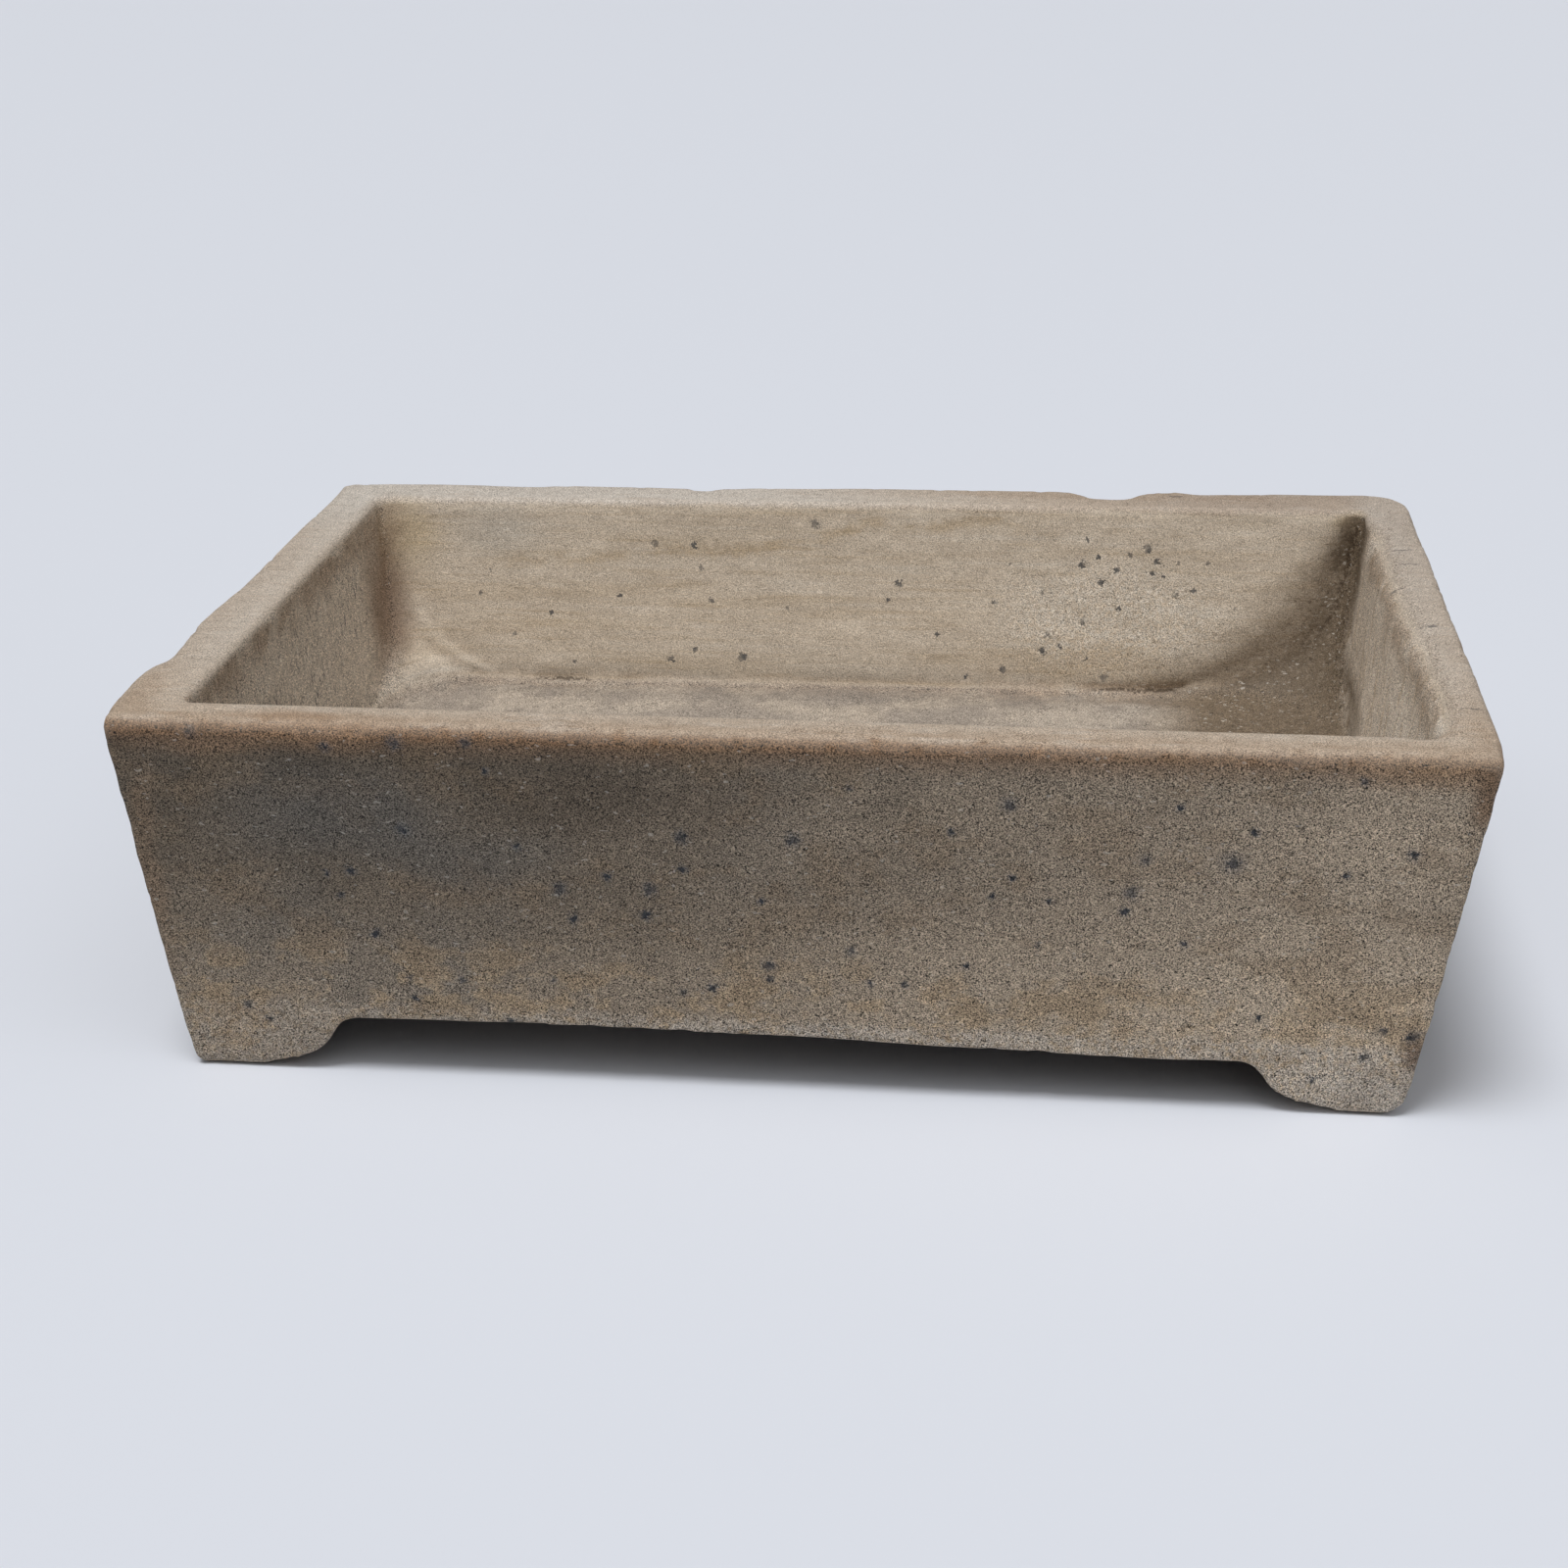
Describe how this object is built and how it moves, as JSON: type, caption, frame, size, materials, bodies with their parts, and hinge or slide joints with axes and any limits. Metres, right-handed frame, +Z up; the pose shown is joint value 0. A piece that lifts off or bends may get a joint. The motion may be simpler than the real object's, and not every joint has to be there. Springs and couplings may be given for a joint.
{
  "type": "narcissus bowl",
  "caption": "Oblong narcissus basin carved from one block of stone, with leaning walls, a coved hollow, bracket feet and arched aprons.",
  "frame": {"origin": "on the ground, under the middle of the rim", "axes": "+X along the length, towards the end with the deeper rim; +Y towards the chipped back edge; +Z up"},
  "size_m": [0.4391, 0.293, 0.131],
  "materials": {
    "stone": "matte, worn, hand-dressed"
  },
  "bodies": {
    "root": {"stone_bowl": "stone"}
  },
  "joints": []
}
